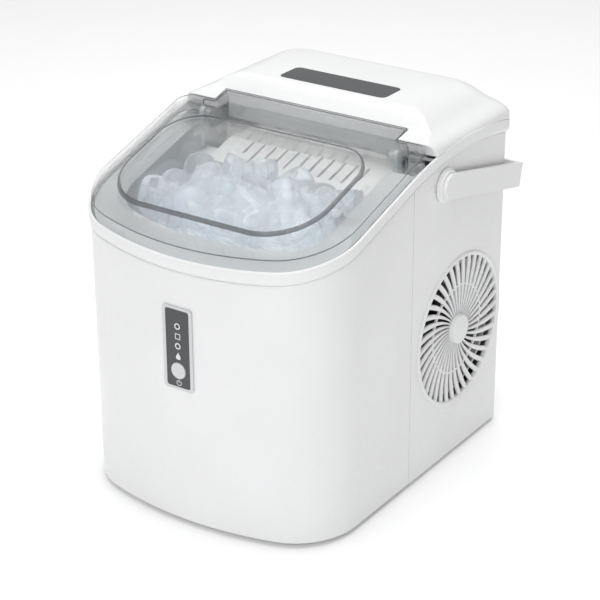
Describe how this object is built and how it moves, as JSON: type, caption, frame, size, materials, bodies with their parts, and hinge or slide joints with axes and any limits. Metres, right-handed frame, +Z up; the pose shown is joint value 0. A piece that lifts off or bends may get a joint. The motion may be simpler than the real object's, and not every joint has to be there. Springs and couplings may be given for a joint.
{
  "type": "ice maker",
  "caption": "Countertop ice maker with a bowed white cabinet, clear hinged lid over an ice bay, round side fan grille and a folding carry handle.",
  "frame": {"origin": "on the surface it stands on, under the middle of its whole outline with the handle folded", "axes": "+X right seen from the front, +Y to the rear, +Z up"},
  "size_m": [0.24, 0.2918, 0.2891],
  "materials": {
    "white_shell": "satin moulded ABS",
    "white_part": "matte moulded plastic",
    "liner_grey": "fine satin polypropylene",
    "chute_grey": "matte moulded plastic",
    "dark_plastic": "matte moulded plastic",
    "inlay_dark": "fine-textured matte film",
    "panel_dark": "smooth semi-gloss film",
    "bezel_silver": "satin silver lacquer",
    "button_silver": "spun silver",
    "lens": "frosted clear",
    "clear_lid": "clear polished AS plastic",
    "rubber": "matte",
    "steel": "zinc-plated",
    "evaporator": "nickel-plated",
    "copper": "drawn copper",
    "fin_aluminium": "thin plain sheet",
    "black_paint": "semi-gloss enamel",
    "pan_steel": "galvanised and painted",
    "foam": "closed-cell foam",
    "clear_tube": "translucent silicone",
    "circuit": "solder-masked board"
  },
  "bodies": {
    "housing": {"base_pan": "pan_steel", "feet": "rubber", "front_shell": "white_shell", "rear_shell": "white_shell", "top_frame": "white_shell", "top_cover": "white_shell", "cover_inlay": "inlay_dark", "liner": "liner_grey", "insulation": "foam", "ice_basket": "liner_grey", "ice_chute": "chute_grey", "evaporator_tube": "copper", "evaporator_fingers": "evaporator", "tray_bearings": "white_part", "tray_motor": "dark_plastic", "water_nozzle": "white_part", "water_tube": "clear_tube", "water_pump": "dark_plastic", "pump_hose": "clear_tube", "float_stem": "steel", "compressor": "black_paint", "compressor_grommets": "rubber", "compressor_bolts": "steel", "terminal_cover": "dark_plastic", "condenser_fins": "fin_aluminium", "condenser_tubes": "copper", "fan_motor": "dark_plastic", "fan_shroud": "white_part", "fan_grille": "white_shell", "intake_grille": "white_shell", "filter_drier": "copper", "gas_valve": "copper", "hot_gas_pipe": "copper", "suction_pipe": "copper", "discharge_pipe": "copper", "control_bezel": "bezel_silver", "control_plate": "panel_dark", "led_lenses": "lens", "display_board": "circuit", "main_board": "circuit", "handle_bushes": "white_part", "drain_hose": "clear_tube", "drain_spout": "white_part", "cord_gland": "dark_plastic", "ice_sensors": "dark_plastic", "frame_screws": "steel", "rear_screws": "steel", "base_screws": "steel"},
    "lid": {"lid": "clear_lid", "lid_hinge_pins": "steel"},
    "handle": {"handle": "white_shell", "handle_clips": "steel"},
    "fan": {"fan_rotor": "dark_plastic", "fan_shaft": "steel"},
    "power_button": {"power_button": "button_silver"},
    "water_tray": {"water_tray": "white_part", "tray_shaft": "steel"},
    "ice_pusher": {"ice_pusher": "white_part"},
    "drain_cap": {"drain_cap": "dark_plastic"},
    "water_float": {"water_float": "white_part"}
  },
  "joints": [
    {"name": "lid_hinge", "type": "hinge", "parent": "housing", "child": "lid", "pos_m": [0, 0.00877, 0.265], "axis": [-1, 0, 0], "range_deg": [0, 108]},
    {"name": "handle_hinge", "type": "hinge", "parent": "housing", "child": "handle", "pos_m": [0, 0.03677, 0.2385], "axis": [1, 0, 0], "range_deg": [0, 100]},
    {"name": "fan_spin", "type": "hinge", "parent": "housing", "child": "fan", "pos_m": [0.095, 0.06477, 0.109], "axis": [1, 0, 0], "continuous": true},
    {"name": "power_button_press", "type": "slide", "parent": "housing", "child": "power_button", "axis": [0, 1, 0], "range_m": [0, 0.0008], "stiffness_N_per_m": 800, "springref_m": -0.0006},
    {"name": "tray_tip", "type": "hinge", "parent": "housing", "child": "water_tray", "pos_m": [0, 0.07877, 0.24], "axis": [1, 0, 0], "range_deg": [0, 45]},
    {"name": "pusher_slide", "type": "slide", "parent": "housing", "child": "ice_pusher", "axis": [0, -0.9646, -0.2639], "range_m": [0, 0.012]},
    {"name": "drain_cap_pull", "type": "slide", "parent": "housing", "child": "drain_cap", "axis": [0, 1, 0], "range_m": [0, 0.015]},
    {"name": "float_rise", "type": "slide", "parent": "housing", "child": "water_float", "axis": [0, 0, 1], "range_m": [0, 0.012]}
  ],
  "couplings": [
    {"joint": "pusher_slide", "follows": "tray_tip", "m_per_rad": 0.01527}
  ]
}
